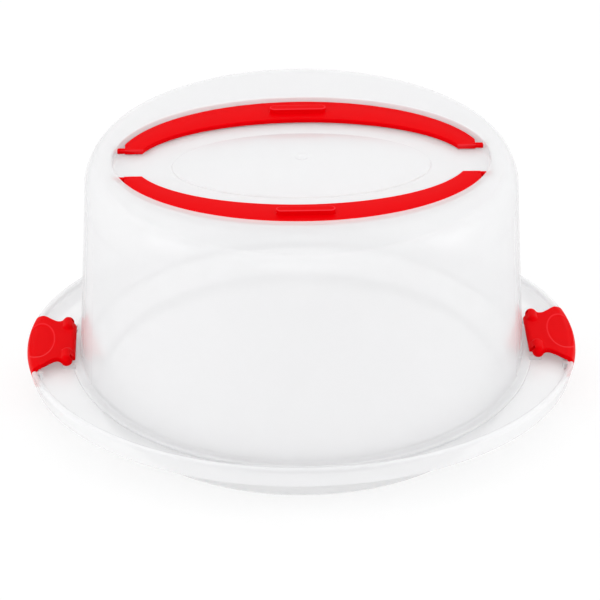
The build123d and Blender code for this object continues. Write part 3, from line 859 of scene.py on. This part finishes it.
# --- Materials -----------------------------------------------------------------------------------
def linear(code):
    """An sRGB hex colour as linear RGBA."""
    channels = []
    for start in (1, 3, 5):
        value = int(code[start : start + 2], 16) / 255
        channels.append(value / 12.92 if value <= 0.04045 else ((value + 0.055) / 1.055) ** 2.4)
    return (*channels, 1.0)


def surface(name):
    """A new material with an empty node tree."""
    material = bpy.data.materials.new(name)
    material.use_nodes = True
    material.node_tree.nodes.clear()
    return material, material.node_tree


def natural_polypropylene():
    """Natural polypropylene from a polished tool: milky clear, with a soft gloss and a faint haze."""
    material, tree = surface("natural_polypropylene")
    where = node(tree, "ShaderNodeTexCoord").outputs["Object"]
    # haze that drifts over about 60 mm, where the melt cooled at different rates
    haze = node(
        tree,
        "ShaderNodeTexNoise",
        {"Vector": where, "Scale": 1 / 0.060, "Detail": 2.0, "Roughness": 0.45},
    )
    tint = node(
        tree,
        "ShaderNodeMix",
        {"Factor": haze.outputs["Fac"], "A": linear("#FBFBFC"), "B": linear("#FDFDFE")},
        data_type="RGBA",
    )
    rough = node(
        tree,
        "ShaderNodeMapRange",
        {
            "Value": haze.outputs["Fac"],
            "From Min": 0.3,
            "From Max": 0.7,
            "To Min": 0.11,
            "To Max": 0.17,
        },
    )
    # the polish of the tool leaves ripples of about 1.5 mm, a few micrometres deep
    ripple = node(tree, "ShaderNodeTexNoise", {"Vector": where, "Scale": 1 / 0.0015, "Detail": 1.0})
    bump = node(
        tree,
        "ShaderNodeBump",
        {"Height": ripple.outputs["Fac"], "Strength": 0.12, "Distance": 0.00002},
    )
    shader = node(
        tree,
        "ShaderNodeBsdfPrincipled",
        {
            "Base Color": tint.outputs["Result"],
            "Roughness": rough.outputs["Result"],
            "IOR": 1.49,
            "Transmission Weight": 0.08,
            "Alpha": 0.48,
            "Normal": bump.outputs["Normal"],
        },
    )
    # the longer the way through the plastic, the greyer: this draws the outline of the walls
    body = node(tree, "ShaderNodeVolumeAbsorption", {"Color": linear("#E6E6E7"), "Density": 30.0})
    node(
        tree,
        "ShaderNodeOutputMaterial",
        {"Surface": shader.outputs["BSDF"], "Volume": body.outputs["Volume"]},
    )
    return material


def red_polypropylene():
    """Red polypropylene: strong even colour, satin gloss with a faint orange peel, and a painted
    highlight along marked edges.
    """
    material, tree = surface("red_polypropylene")
    where = node(tree, "ShaderNodeTexCoord").outputs["Object"]
    flow = node(
        tree,
        "ShaderNodeTexNoise",
        {"Vector": where, "Scale": 1 / 0.018, "Detail": 3.0, "Roughness": 0.5},
    )
    tint = node(
        tree,
        "ShaderNodeMix",
        {"Factor": flow.outputs["Fac"], "A": linear("#DC0006"), "B": linear("#E40109")},
        data_type="RGBA",
    )
    rough = node(
        tree,
        "ShaderNodeMapRange",
        {
            "Value": flow.outputs["Fac"],
            "From Min": 0.3,
            "From Max": 0.7,
            "To Min": 0.30,
            "To Max": 0.38,
        },
    )
    peel = node(tree, "ShaderNodeTexNoise", {"Vector": where, "Scale": 1 / 0.0009, "Detail": 1.5})
    bump = node(
        tree,
        "ShaderNodeBump",
        {"Height": peel.outputs["Fac"], "Strength": 0.25, "Distance": 0.00003},
    )
    # painted highlight: points marked by the attribute are painted a paler red, standing in for light
    # caught on the edges
    highlight_share = node(tree, "ShaderNodeAttribute", attribute_name="painted_highlight").outputs["Fac"]
    tint = node(
        tree,
        "ShaderNodeMix",
        {"Factor": highlight_share, "A": tint.outputs["Result"], "B": linear("#EF3A41")},
        data_type="RGBA",
    )
    shader = node(
        tree,
        "ShaderNodeBsdfPrincipled",
        {
            "Base Color": tint.outputs["Result"],
            "Roughness": rough.outputs["Result"],
            "IOR": 1.49,
            "Specular IOR Level": 0.015,
            "Normal": bump.outputs["Normal"],
        },
    )
    node(tree, "ShaderNodeOutputMaterial", {"Surface": shader.outputs["BSDF"]})
    return material


# --- Studio --------------------------------------------------------------------------------------
WORLD_LIGHT = 1.0
FLOOR_LIFT = 0.80                           # how far the paper is lifted from its shadow to white
FLOOR_REACH = 6                             # metres from the middle to each edge
WHITE = (1, 1, 1, 1)

# the lens and where the eye stands
PICTURE_WIDTH, SENSOR_WIDTH = 600, 36.0
FOCAL_PIXELS, SHIFT_PIXELS = 3107.31, -1.6
EYE_AZIMUTH, EYE_ELEVATION, EYE_DISTANCE, AIM_HEIGHT = -2.12, 29.76, 2.0, 0.06253


def seen_directly(tree):
    """1 for rays from the eye, a reflection or through the plastic, 0 for light on a surface."""
    rays = node(tree, "ShaderNodeLightPath").outputs
    direct = rays["Is Camera Ray"]
    for kind in ("Is Transmission Ray", "Is Glossy Ray"):
        either = node(tree, "ShaderNodeMath", {0: direct, 1: rays[kind]}, operation="MAXIMUM")
        direct = either.outputs[0]
    return direct


def softbox(name, place, size, watts, aim=(0, 0, 0.08)):
    """A rectangular lamp that looks at the carrier."""
    lamp = bpy.data.lights.new(name, "AREA")
    lamp.shape, lamp.size, lamp.size_y, lamp.energy = "RECTANGLE", size[0], size[1], watts
    holder = bpy.data.objects.new(name, lamp)
    holder.location = place
    holder.rotation_euler = (Vector(aim) - Vector(place)).to_track_quat("-Z", "Y").to_euler()
    bpy.context.collection.objects.link(holder)


def build_studio():
    """White surroundings, the paper on the floor and four soft lamps."""
    scene = bpy.context.scene
    scene.view_settings.view_transform = "Standard"
    world = bpy.data.worlds.new("studio")
    scene.world = world
    world.use_nodes = True
    tree = world.node_tree
    tree.nodes.clear()
    light = node(tree, "ShaderNodeBackground", {"Color": WHITE, "Strength": WORLD_LIGHT})
    backdrop = node(tree, "ShaderNodeBackground", {"Color": WHITE, "Strength": 1.0})
    mix = node(
        tree,
        "ShaderNodeMixShader",
        {0: seen_directly(tree), 1: light.outputs[0], 2: backdrop.outputs[0]},
    )
    node(tree, "ShaderNodeOutputWorld", {"Surface": mix.outputs[0]})

    # paper that takes a shadow, lifted towards white where it is looked at
    floor_material, tree = surface("pale_floor")
    lift = node(tree, "ShaderNodeMath", {0: seen_directly(tree), 1: FLOOR_LIFT}, operation="MULTIPLY")
    paper = node(tree, "ShaderNodeBsdfDiffuse", {"Color": linear("#FAFAFA")})
    glow = node(tree, "ShaderNodeEmission", {"Color": WHITE, "Strength": 1.0})
    both = node(
        tree,
        "ShaderNodeMixShader",
        {0: lift.outputs[0], 1: paper.outputs[0], 2: glow.outputs[0]},
    )
    node(tree, "ShaderNodeOutputMaterial", {"Surface": both.outputs[0]})
    mesh = bpy.data.meshes.new("floor")
    low, high = -FLOOR_REACH, FLOOR_REACH
    corners = [(low, low, 0), (high, low, 0), (high, high, 0), (low, high, 0)]
    mesh.from_pydata(corners, [], [(0, 1, 2, 3)])
    floor = bpy.data.objects.new("floor", mesh)
    floor.data.materials.append(floor_material)
    bpy.context.collection.objects.link(floor)

    softbox("top_softbox", (0.0, 0.35, 1.7), (1.6, 1.2), 1.5)
    softbox("front_softbox", (0.0, -2.6, 1.9), (2.2, 1.2), 6.5)
    softbox("left_softbox", (-1.6, -0.5, 0.9), (0.7, 1.4), 4.5)
    softbox("right_softbox", (1.6, -0.3, 0.8), (0.7, 1.4), 4)


def build_camera():
    """A long lens, looking down at about 30 degrees and nearly square to the front."""
    azimuth, elevation = math.radians(EYE_AZIMUTH), math.radians(EYE_ELEVATION)
    aim = Vector((0, 0, AIM_HEIGHT))
    level = math.cos(elevation)
    back = Vector((math.sin(azimuth) * level, -math.cos(azimuth) * level, math.sin(elevation)))
    camera = bpy.data.objects.new("camera", bpy.data.cameras.new("camera"))
    camera.location = aim + back * EYE_DISTANCE
    camera.rotation_euler = (-back).to_track_quat("-Z", "Y").to_euler()
    camera.data.sensor_width = SENSOR_WIDTH
    camera.data.lens = FOCAL_PIXELS / PICTURE_WIDTH * SENSOR_WIDTH
    camera.data.shift_x = SHIFT_PIXELS / PICTURE_WIDTH
    camera.data.dof.use_dof = False
    bpy.context.collection.objects.link(camera)
    bpy.context.scene.camera = camera


# --- Assembly ------------------------------------------------------------------------------------
clear = natural_polypropylene()
red = red_polypropylene()

rear_bail = build_handle(red)
front_bail = mirrored(rear_bail, "front_bail", 1)
right_catch = build_latch()
left_catch = mirrored(right_catch, "left_catch", 0)
domed_lid = build_lid()
oval_tray = build_tray()

for piece, material in (
    (oval_tray, clear),
    (domed_lid, clear),
    (rear_bail, red),
    (front_bail, red),
    (right_catch, red),
    (left_catch, red),
):
    piece.data.materials.clear()
    piece.data.materials.append(material)

for piece, carried_by, stands_for, slot in (
    (oval_tray, "tray", "tray", "clear_polypropylene"),
    (domed_lid, "lid", "lid", "clear_polypropylene"),
    (rear_bail, "rear_handle", "rear_handle", "red_polypropylene"),
    (front_bail, "front_handle", "front_handle", "red_polypropylene"),
    (right_catch, "right_latch", "right_latch", "red_polypropylene"),
    (left_catch, "left_latch", "left_latch", "red_polypropylene"),
):
    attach(piece, carried_by)
    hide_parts(stands_for)

build_studio()
build_camera()
